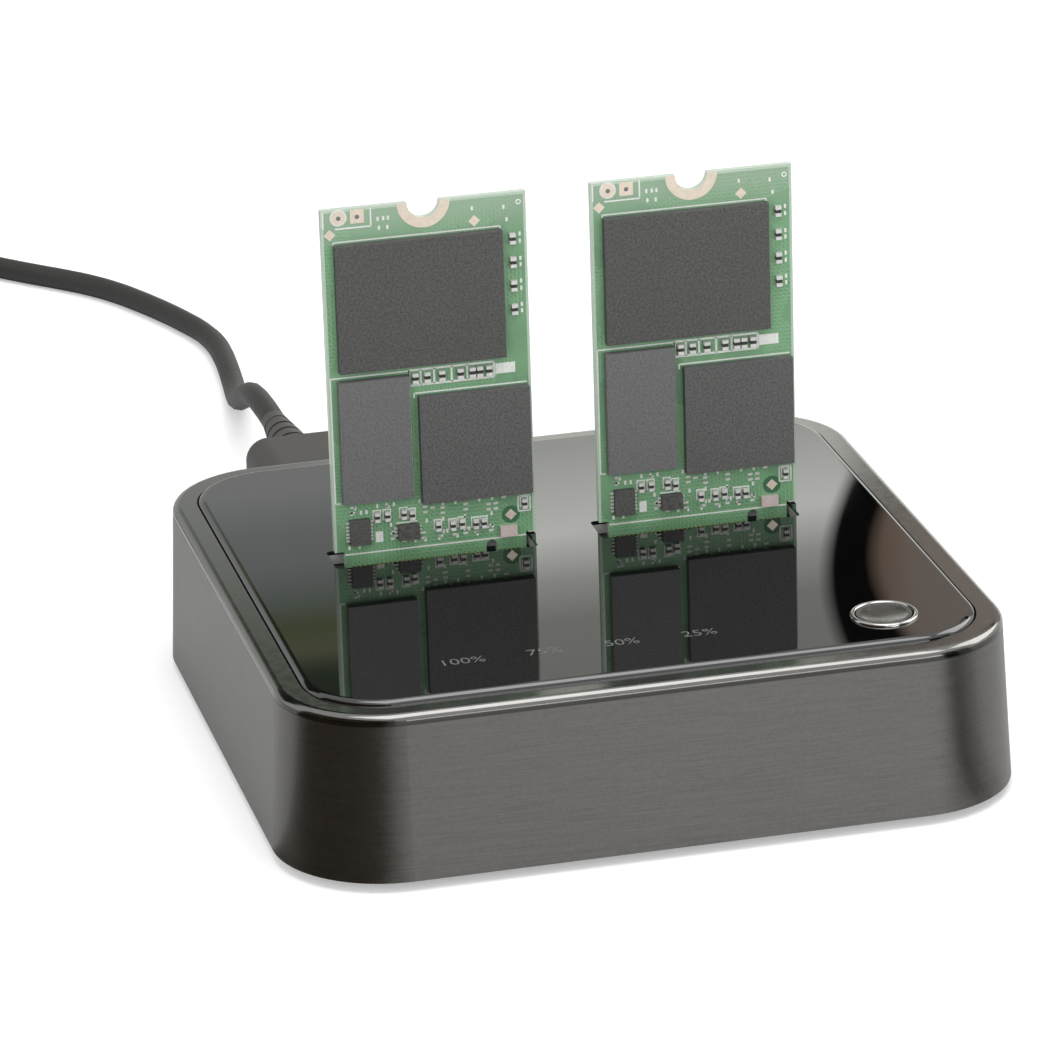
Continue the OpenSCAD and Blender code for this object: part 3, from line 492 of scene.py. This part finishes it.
def add_piece(name, vertices, faces, material, body):
    mesh = bpy.data.meshes.new(name)
    mesh.from_pydata(vertices, [], faces)
    mesh.materials.append(material)
    piece = bpy.data.objects.new(name, mesh)
    bpy.context.scene.collection.objects.link(piece)
    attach(piece, body)
    return piece


def block_faces(first):
    quads = ((0, 1, 3, 2), (4, 6, 7, 5), (0, 4, 5, 1), (2, 3, 7, 6), (0, 2, 6, 4), (1, 5, 7, 3))
    return [tuple(first + corner for corner in quad) for quad in quads]


def blocks(name, boxes, material, body):
    """One mesh of blocks, each given by its lowest and highest corner."""
    vertices = []
    faces = []
    for low, high in boxes:
        faces += block_faces(len(vertices))
        wide, deep, tall = zip(low, high)
        vertices += [(x, y, z) for x in wide for y in deep for z in tall]
    return add_piece(name, vertices, faces, material, body)


MICRONS_IN_METRE = 1e6


def islands(piece):
    """The box of each separate solid in a node's mesh, whose corners are told apart to a micron."""
    mesh = piece.data
    keys = [tuple(round(c * MICRONS_IN_METRE) for c in v.co) for v in mesh.vertices]
    parent = {key: key for key in keys}

    def root(key):
        while parent[key] != key:
            key = parent[key]
        return key

    for face in mesh.polygons:
        first = root(keys[face.vertices[0]])
        for corner in face.vertices[1:]:
            parent[root(keys[corner])] = first
    groups = {}
    for key in sorted(set(keys)):
        groups.setdefault(root(key), []).append(key)
    boxes = []
    for members in groups.values():
        boxes.append(([min(m[i] for m in members) / MICRONS_IN_METRE for i in range(3)],
                      [max(m[i] for m in members) / MICRONS_IN_METRE for i in range(3)]))
    return sorted(boxes)


INK = 0.02
LINE = 0.16
# Upright and level lines, by their two ends
BRACKETS = [
    (-9.5, -2.1, -5.6, -2.1), (-5.65, -0.1, -5.65, -2.1),
    (-9.7, -3.55, 8.1, -3.55), (-9.75, -3.5, -9.75, -3.9), (8.15, -3.5, 8.15, -3.9),
    (-10.75, -18.5, -2.3, -18.5), (-10.7, -18.5, -10.7, -32.5), (-2.25, -18.5, -2.25, -32.3),
    (-10.7, -32.5, -10.1, -32.5), (-1.7, -21.05, 10.5, -21.05), (-1.75, -21.05, -1.75, -21.6),
    (-9.9, -38.35, 9.9, -38.35), (-4.2, -35.4, -1.9, -35.4),
    (9.15, -33.9, 10.5, -33.9), (9.15, -33.9, 9.15, -35.6), (10.45, -33.9, 10.45, -35.6),
    (9.15, -35.6, 10.5, -35.6), (-10.75, -0.15, -10.75, -2),
]
# The printed boxes round one row of capacitors
ROW_TOP = -18.45
ROW_FOOT = -20.15
ROW_ENDS = [-2.2, -0.95, 0.5, 2.4, 4.1, 7.0]
ROW_LINE = 0.22
# Printed patches, by two corners
FILLS = [(7.15, -18.7, 9.3, -19.85), (-6.5, -36.1, -5.7, -37.3), (-4.7, -36.2, -4.3, -36.7)]
# Short upright marks: those at one height, those beside the right edge, and single ones
TICK_ROWS = {
    -1.4: (-4.9, -4.3, -3.8),
    -2.4: (-4.8, -3.9),
    -33.2: (-8.6, -6.2, -5.2, -4.4, -1.6, -0.9, 1.5, 3.4, 5.6),
    -33.75: (-9.0, -8.0, -7.4, 0.9, 2.3, 4.9, 6.3),
    -35.5: (-8.9, -4.8, -0.9, 0.9, 3.3, 6.2),
    -36.9: (-3.4, -2.7, 0.9, 1.3, 3.2, 3.7, 5.8, 6.3),
    -37.6: (-9.4, -8.3, -2.2, -1.1, 0.4, 2.4, 4.6),
}
TICK_EDGE = 10.25
TICKS_AT_EDGE = (-4.6, -5.4, -7.3, -8, -9.8, -10.6, -12.4, -13.1)
TICKS_ALONE = [(5.2, -1.3), (8.6, -1.5), (8.9, -2.9)]
TICK_HALF_W = 0.12
TICK_HALF_H = 0.22
# Pairs of bare solder pads, one above the other
PAD_PAIRS = [(-5.1, -33.7), (-4.6, -36.8), (-1.0, -34.2), (-0.2, -33.8), (0.9, -34.5), (3.4, -34.4),
             (5.9, -34.7), (6.7, -34.7), (-3.4, -37.2), (-1.3, -37.1), (0.6, -37.1), (2.1, -37.1),
             (3.3, -37.1), (4.5, -37.1), (6.1, -37.1), (-8.9, -33.4), (7.6, -33.5)]
PAIR_HALF_W = 0.25
PAIR_HALF_H = 0.13
PAIR_APART = 0.3


def pair_boxes():
    return [(u - PAIR_HALF_W, z + end - PAIR_HALF_H, u + PAIR_HALF_W, z + end + PAIR_HALF_H)
            for u, z in PAD_PAIRS for end in (-PAIR_APART, PAIR_APART)]


def tick_places():
    places = [(u, z) for z, row in TICK_ROWS.items() for u in row]
    return places + [(TICK_EDGE, z) for z in TICKS_AT_EDGE] + TICKS_ALONE


def line_box(u0, z0, u1, z1, width=LINE):
    """A line has its width across it, and ends where its two ends are."""
    half_u = width / 2 if u0 == u1 else 0
    half_z = width / 2 if z0 == z1 else 0
    return (min(u0, u1) - half_u, min(z0, z1) - half_z, max(u0, u1) + half_u, max(z0, z1) + half_z)


def silk_boxes():
    rows = [line_box(*bracket) for bracket in BRACKETS]
    rows += [line_box(ROW_ENDS[0], z, ROW_ENDS[-1], z, ROW_LINE) for z in (ROW_TOP, ROW_FOOT)]
    rows += [line_box(u, ROW_TOP, u, ROW_FOOT, ROW_LINE) for u in ROW_ENDS]
    rows += [(u0, z1, u1, z0) for u0, z0, u1, z1 in FILLS]
    rows += [(u - TICK_HALF_W, z - TICK_HALF_H, u + TICK_HALF_W, z + TICK_HALF_H) for u, z in tick_places()]
    return rows


def on_board(board, rows):
    """Flat boxes on the front of a board, from places in millimetres to corners in metres."""
    middle = (board[0][0] + board[1][0]) / 2
    front = board[0][1]
    top = board[1][2]
    return [((middle + u0 * MM, front - INK * MM, top + z0 * MM), (middle + u1 * MM, front, top + z1 * MM))
            for u0, z0, u1, z1 in rows]


CAP_SHARE = 0.33
CAP_PROUD = 0.025 * MM
CAP_WIDEST = 1.4 * MM


def solder_caps(side):
    """Two bright ends on each small capacitor, folded over its front, top and foot."""
    caps = []
    for low, high in islands(nodes[side + "_drive_passives"]):
        if high[0] - low[0] > CAP_WIDEST:
            continue
        share = (high[2] - low[2]) * CAP_SHARE
        left, right = low[0] - CAP_PROUD, high[0] + CAP_PROUD
        for foot, head in ((low[2] - CAP_PROUD, low[2] + share), (high[2] - share, high[2] + CAP_PROUD)):
            caps.append(((left, low[1] - CAP_PROUD, foot), (right, high[1], head)))
    return caps


FOOT_LEVEL = -32.5 * MM
OUTLINE_GAP = 0.22 * MM
OUTLINE_OVER = 0.12 * MM
OUTLINE_LINE = 0.14 * MM


def part_outlines(side):
    """Two upright printed lines beside each small part at the board's foot, joined above by a third."""
    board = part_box(side + "_drive_board")
    back = board[0][1]
    front = back - INK * MM
    rows = []
    for low, high in islands(nodes[side + "_drive_passives"]):
        if high[2] - board[1][2] > FOOT_LEVEL or high[0] - low[0] > CAP_WIDEST:
            continue
        left, right = low[0] - OUTLINE_GAP, high[0] + OUTLINE_GAP
        head = high[2] + OUTLINE_OVER
        for x in (left, right - OUTLINE_LINE):
            rows.append(((x, front, low[2]), (x + OUTLINE_LINE, back, head)))
        rows.append(((left, front, head), (right, back, head + OUTLINE_LINE)))
    return rows


COIL_WIDEST = 1.5 * CAP_WIDEST
COIL_SKIN = 0.03 * MM


def coil_skins(side):
    """The pale body of the one wide part at the board's foot."""
    rows = []
    for low, high in islands(nodes[side + "_drive_chips"]) + islands(nodes[side + "_drive_passives"]):
        if CAP_WIDEST < high[0] - low[0] < COIL_WIDEST and high[2] - low[2] < CAP_WIDEST:
            rows.append(([v - COIL_SKIN for v in low], [v + COIL_SKIN for v in high]))
    return rows


LEG_W = 0.2 * MM
LEG_PITCH = 0.4 * MM
LEG_OUT = 0.35 * MM
LEG_PROUD = 0.2 * MM


def chip_legs(side):
    """Short leads along both upright sides of the small chips."""
    legs = []
    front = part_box(side + "_drive_board")[0][1]
    for low, high in islands(nodes[side + "_drive_chips"]):
        count = int((high[2] - low[2]) / LEG_PITCH) - 1
        middle = (low[2] + high[2]) / 2
        for index in range(count):
            z = middle + (index - (count - 1) / 2) * LEG_PITCH
            for x0, x1 in ((low[0] - LEG_OUT, low[0]), (high[0], high[0] + LEG_OUT)):
                legs.append(((x0, front - LEG_PROUD, z - LEG_W / 2), (x1, front, z + LEG_W / 2)))
    return legs


RING_SIDES = 32
SMALLEST_BORE = 0.01
# Place, inner and outer radius, and how far it stands proud, in millimetres
MASK_RINGS = [(8.3, -35.85, 0, 1.0, 0.012)]
PAD_RIMS = [(-9.1, -0.9, 0.75, 0.9, 0.02), (10.2, -1.1, 0.16, 0.3, 0.02)]
PAD_HOLES = [(-9.1, -0.95, 0, 0.24, 0.05), (-7.1, -0.95, 0, 0.24, 0.05)]


def ring_rims(board, u, z, inner, outer, proud):
    """The four rims of a thin ring on the front of a board."""
    middle = (board[0][0] + board[1][0]) / 2 + u * MM
    height = board[1][2] + z * MM
    back = board[0][1]
    front = back - proud * MM
    turns = [2 * math.pi * i / RING_SIDES for i in range(RING_SIDES)]
    return [[(middle + r * MM * math.cos(a), y, height + r * MM * math.sin(a)) for a in turns]
            for r, y in ((outer, back), (outer, front), (inner, front), (inner, back))]


def rings(name, board, rows, material, body):
    """One mesh of rings; one whose inner radius is 0 looks like a disc."""
    vertices = []
    faces = []
    for u, z, inner, outer, proud in rows:
        first = len(vertices)
        rims = ring_rims(board, u, z, max(inner, SMALLEST_BORE), outer, proud)
        for band, rim in enumerate(rims):
            start = first + band * RING_SIDES
            after = first + (band + 1) % len(rims) * RING_SIDES
            for i in range(RING_SIDES):
                j = (i + 1) % RING_SIDES
                faces.append((start + i, start + j, after + j, after + i))
            vertices += rim
    return add_piece(name, vertices, faces, material, body)


def detail_drive(side):
    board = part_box(side + "_drive_board")
    body = side + "_drive"
    start = body + "_"
    blocks(start + "silk", on_board(board, silk_boxes()), silk_white, body)
    blocks(start + "outlines", part_outlines(side), silk_white, body)
    skins = coil_skins(side)
    if skins:
        blocks(start + "coil_skin", skins, blush_ceramic, body)
    blocks(start + "solder", solder_caps(side), solder_bright, body)
    blocks(start + "bare_pairs", on_board(board, pair_boxes()), solder_bright, body)
    blocks(start + "legs", chip_legs(side), solder_bright, body)
    rings(start + "mask_rings", board, MASK_RINGS, mask_dark, body)
    rings(start + "pad_rims", board, PAD_RIMS, silk_white, body)
    rings(start + "holes", board, PAD_HOLES, materials["carrier_grey"], body)


for side in SIDES:
    detail_drive(side)

# Print on the panel

PANEL_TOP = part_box("top_panel")[1][2]
MARK_Y = -0.0278
MARK_SIZE = 0.0031
MARK_NARROW = 0.72
MARK_LOW = 0.7
MARK_THIN = 0.02 * MM
MARK_RAISE = 0.01 * MM
# Each mark, and how far right of the middle it is
MARKS = [("100%", -0.0187), ("75%", -0.0101), ("50%", -0.002), ("25%", 0.0062)]


def panel_mark(text, x):
    data = bpy.data.curves.new("mark_" + text[:-1], "FONT")
    data.body = text
    data.size = MARK_SIZE
    data.align_x = "CENTER"
    data.extrude = MARK_RAISE
    data.offset = -MARK_THIN
    data.resolution_u = 6
    data.materials.append(panel_print)
    piece = bpy.data.objects.new("mark_" + text[:-1], data)
    piece.location = (x, MARK_Y, PANEL_TOP + MARK_RAISE)
    piece.scale = (MARK_NARROW, MARK_LOW, 1)
    bpy.context.scene.collection.objects.link(piece)
    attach(piece, "station")


for text, x in MARKS:
    panel_mark(text, x)

# Stage: floor, what the gloss reflects, and lamps


def plane(name, corners, material):
    mesh = bpy.data.meshes.new(name)
    mesh.from_pydata(corners, [], [(0, 1, 2, 3)])
    mesh.materials.append(material)
    piece = bpy.data.objects.new(name, mesh)
    bpy.context.scene.collection.objects.link(piece)
    return piece


FLOOR_HALF = 4
FLOOR_LIFT = 0.35


def make_floor():
    """A pale floor, lifted to white where the camera sees it, so that only the object's shadow shows."""
    paint = Paint("floor", (0.8, 0.8, 0.8), 0.9)
    paint.set("Specular IOR Level", 0)
    paint.set("Emission Color", (1, 1, 1, 1))
    rays = paint.tree.nodes.new("ShaderNodeLightPath")
    lift = paint.math("MULTIPLY", rays.outputs["Is Camera Ray"], FLOOR_LIFT)
    paint.link(lift, paint.shader.inputs["Emission Strength"])
    half = FLOOR_HALF
    plane("floor", [(-half, -half, 0), (half, -half, 0), (half, half, 0), (-half, half, 0)], paint.material)


WORLD_LIGHT = 0.6
WORLD_SEEN = 1.0


def make_world():
    world = bpy.data.worlds.new("world")
    world.use_nodes = True
    tree = world.node_tree
    background = tree.nodes["Background"]
    background.inputs["Color"].default_value = (1, 1, 1, 1)
    rays = tree.nodes.new("ShaderNodeLightPath")
    seen = rays.outputs["Is Camera Ray"]
    for ray in ("Is Glossy Ray", "Is Transmission Ray"):
        more = tree.nodes.new("ShaderNodeMath")
        more.operation = "MAXIMUM"
        tree.links.new(seen, more.inputs[0])
        tree.links.new(rays.outputs[ray], more.inputs[1])
        seen = more.outputs["Value"]
    strength = tree.nodes.new("ShaderNodeMapRange")
    strength.inputs["To Min"].default_value = WORLD_LIGHT
    strength.inputs["To Max"].default_value = WORLD_SEEN
    tree.links.new(seen, strength.inputs["Value"])
    tree.links.new(strength.outputs["Result"], background.inputs["Strength"])
    bpy.context.scene.world = world


# Cards that only the gloss sees: a tall one behind, a bright one at the right, and dark ones round the
# two near corners of the wall

CARD_Y = 0.4
CARD_HALF = 0.5
CARD_HEIGHT = 0.5
# Where the left part of the card passes into the right part
DARK_END = 0.055
LIGHT_START = 0.061
# Heights on the card, or places across it, each with its colour
TAUPE = [(0.155, (0.42, 0.3, 0.22)), (0.161, (0.54, 0.44, 0.37)), (0.175, (0.56, 0.48, 0.43))]
DARK_SIDE = [(0.158, (0.7, 0.72, 0.7)), (0.166, (0.52, 0.55, 0.53)), (0.172, (0.46, 0.5, 0.49)),
             (0.178, (0.34, 0.39, 0.36)), (0.184, (0.2, 0.24, 0.12)), (0.189, (0.28, 0.3, 0.18)),
             (0.193, (0.07, 0.1, 0.06)), (0.21, (0.03, 0.04, 0.03))]
LIGHT_SIDE = [(0.155, (1.3, 1.32, 1.25)), (0.163, (1.65, 1.67, 1.58)), (0.172, (2.0, 2.02, 1.92)),
              (0.181, (1.1, 1.11, 1.05)), (0.189, (0.7, 0.7, 0.66)), (0.21, (0.64, 0.64, 0.6))]
# The two edges of the black band: place at its middle, height of that middle, and how far it bows
BAND_LEFT = (0.145, 0.186, 14)
BAND_RIGHT = (0.154, 0.1835, 24)
BAND_SOFT = 0.0016


def only_in_gloss(piece):
    piece.visible_camera = False
    piece.visible_diffuse = False
    piece.visible_transmission = False
    piece.visible_shadow = False


def stops(paint, value, rows):
    """A run of colours along a value, from one row to the next."""
    tone = rows[0][1]
    for (low, _), (high, color) in zip(rows, rows[1:]):
        tone = paint.blend(paint.span(value, low, high), tone, color)
    return tone


def bowed_edge(paint, x, z, edge):
    """0 on the left of an upright edge and 1 on its right; the edge bows out to the right above and below."""
    start, middle, bow = edge
    offset = paint.math("SUBTRACT", z, middle)
    past = paint.math("SUBTRACT", x, paint.math("MULTIPLY", paint.math("MULTIPLY", offset, offset), bow))
    return paint.span(past, start - BAND_SOFT, start + BAND_SOFT)


def back_card():
    paint = Paint("back_card", (0, 0, 0), 1)
    paint.set("Specular IOR Level", 0)
    paint.set("Emission Strength", 1)
    x, _, z = paint.axes(paint.coordinates)
    dark = stops(paint, z, DARK_SIDE)
    light = stops(paint, z, LIGHT_SIDE)
    tone = paint.blend(paint.span(x, DARK_END, LIGHT_START), dark, light)
    tone = paint.blend(bowed_edge(paint, x, z, BAND_LEFT), tone, (0, 0, 0))
    tone = paint.blend(bowed_edge(paint, x, z, BAND_RIGHT), tone, stops(paint, x, TAUPE))
    paint.link(tone, paint.shader.inputs["Emission Color"])
    only_in_gloss(plane("back_card", [(-CARD_HALF, CARD_Y, 0), (CARD_HALF, CARD_Y, 0),
                                      (CARD_HALF, CARD_Y, CARD_HEIGHT), (-CARD_HALF, CARD_Y, CARD_HEIGHT)],
                        paint.material))


RIGHT_CARD_X = 1.0
RIGHT_CARD_Y = (-0.2, 0.9)
RIGHT_CARD_Z = (0.4, 1.6)
RIGHT_CARD_LIGHT = 4


def right_card():
    """The bright card whose mirror image follows the rim round its near right corner."""
    paint = Paint("right_card", (0, 0, 0), 1)
    paint.set("Specular IOR Level", 0)
    paint.set("Emission Color", (1, 0.98, 0.96, 1))
    paint.set("Emission Strength", RIGHT_CARD_LIGHT)
    (y0, y1), (z0, z1) = RIGHT_CARD_Y, RIGHT_CARD_Z
    only_in_gloss(plane("right_card", [(RIGHT_CARD_X, y0, z0), (RIGHT_CARD_X, y1, z0),
                                       (RIGHT_CARD_X, y1, z1), (RIGHT_CARD_X, y0, z1)], paint.material))


WALL_CORNER_R = 11.2 * MM
FLAG_LIFT = 0.4 * MM
FLAG_FAR = 0.3
# Each card's side of the object, distance from the middle of the corner to its near edge, first and last
# angle from straight ahead in degrees, height of its upright part, and tone
FLAGS = {
    "left_flag": (-1, 12.6 * MM, -104, -9, 0.24, (0.1, 0.078, 0.055)),
    "left_fade": (-1, 12.6 * MM, -9, 0, 0.24, (0.36, 0.34, 0.31)),
    "right_flag": (1, 12.5 * MM, 33, 50, 0.2, (0.025, 0.025, 0.023)),
    "right_fade": (1, 12.5 * MM, 50, 66, 0.2, (0.36, 0.36, 0.34)),
}


def flag(name, side, near, start, end, height, tone):
    """A card on the floor that spreads from a corner between two angles, and one upright at its far edge."""
    paint = Paint(name, tone, 1)
    paint.set("Specular IOR Level", 0)
    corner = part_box("side_frame")[1][0] - WALL_CORNER_R

    def spot(distance, angle, level):
        turned = math.radians(angle)
        return (side * corner + distance * math.sin(turned), -corner - distance * math.cos(turned), level)

    lying = [spot(near, start, FLAG_LIFT), spot(near, end, FLAG_LIFT),
             spot(FLAG_FAR, end, FLAG_LIFT), spot(FLAG_FAR, start, FLAG_LIFT)]
    standing = [spot(FLAG_FAR, start, 0), spot(FLAG_FAR, end, 0),
                spot(FLAG_FAR, end, height), spot(FLAG_FAR, start, height)]
    only_in_gloss(plane(name + "_floor", lying, paint.material))
    only_in_gloss(plane(name + "_stand", standing, paint.material))


# Each lamp's place, aim, width, height and power, and whether the gloss mirrors it
LAMPS = {
    "overhead": ((0.1, -0.2, 1.2), (0, 0, 0), 0.9, 0.9, 8, True),
    "front": ((-0.7, -1.2, 0.8), (0, 0, 0.02), 0.8, 0.8, 6, False),
    "front_right": ((0.6, -1.25, 0.3), (0, 0, 0.02), 0.9, 0.28, 3, True),
}


def lamp(name, place, aim, width, height, power, mirrored):
    data = bpy.data.lights.new(name, "AREA")
    data.shape = "RECTANGLE"
    data.size = width
    data.size_y = height
    data.energy = power
    piece = bpy.data.objects.new(name, data)
    piece.location = place
    piece.visible_glossy = mirrored
    piece.rotation_mode = "QUATERNION"
    piece.rotation_quaternion = (Vector(aim) - Vector(place)).to_track_quat("-Z", "Y")
    bpy.context.scene.collection.objects.link(piece)


make_floor()
make_world()
back_card()
right_card()
for name, values in FLAGS.items():
    flag(name, *values)
for name, values in LAMPS.items():
    lamp(name, *values)
